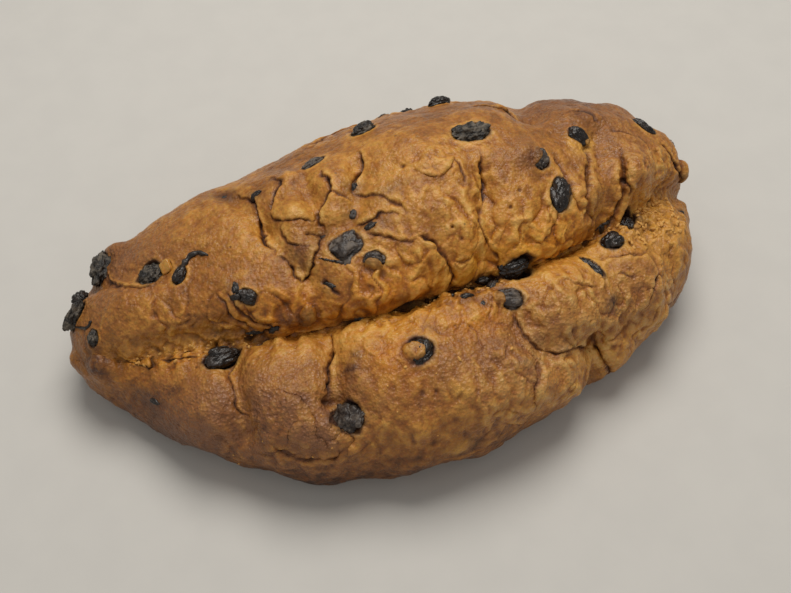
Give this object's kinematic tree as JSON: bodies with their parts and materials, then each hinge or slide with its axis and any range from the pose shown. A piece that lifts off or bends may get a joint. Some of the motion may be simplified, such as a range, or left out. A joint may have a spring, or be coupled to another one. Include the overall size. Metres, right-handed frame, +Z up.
{
  "type": "stollen",
  "caption": "Oblong loaf of folded fruit dough with a lengthwise crease, a cracked brown crust, raisins set in it and a cube of candied peel.",
  "frame": {"origin": "on the flat base, half way between the two ends and on the loaf's middle line", "axes": "+X along the loaf to its blunt end, -Y towards the low front lobe, +Z up"},
  "size_m": [0.285, 0.1693, 0.0913],
  "materials": {
    "crust": "baked crust, browned on the swellings and golden in the crease, with a dull buttery sheen",
    "raisin": "wrinkled black raisin, glossy where shaded and ashy where scorched",
    "candied_peel": "translucent yellow candied peel"
  },
  "bodies": {
    "root": {"loaf": "crust", "candied_peel": "candied_peel", "raisin_end_upper": "raisin", "raisin_tip_upper": "raisin", "raisin_tip_jagged": "raisin", "raisin_tip_low": "raisin", "raisin_left_burnt": "raisin", "raisin_left_drop": "raisin", "raisin_left_pair": "raisin", "raisin_under_lip": "raisin", "raisin_crease_left": "raisin", "raisin_middle_burnt": "raisin", "raisin_middle_small": "raisin", "raisin_top_left": "raisin", "raisin_back_ridge_left": "raisin", "raisin_back_ridge": "raisin", "raisin_top_big": "raisin", "raisin_right_dome": "raisin", "raisin_right_torn": "raisin", "raisin_right_glossy": "raisin", "raisin_right_edge": "raisin", "raisin_right_rim": "raisin", "raisin_right_nose": "raisin", "raisin_crease_right_high": "raisin", "raisin_crease_right": "raisin", "raisin_crease_middle": "raisin", "raisin_front_grey": "raisin", "raisin_front_slit": "raisin", "raisin_front_big": "raisin", "raisin_front_burnt": "raisin", "raisin_back_one": "raisin", "raisin_back_two": "raisin", "raisin_back_three": "raisin", "raisin_back_four": "raisin", "raisin_back_five": "raisin"}
  },
  "joints": []
}
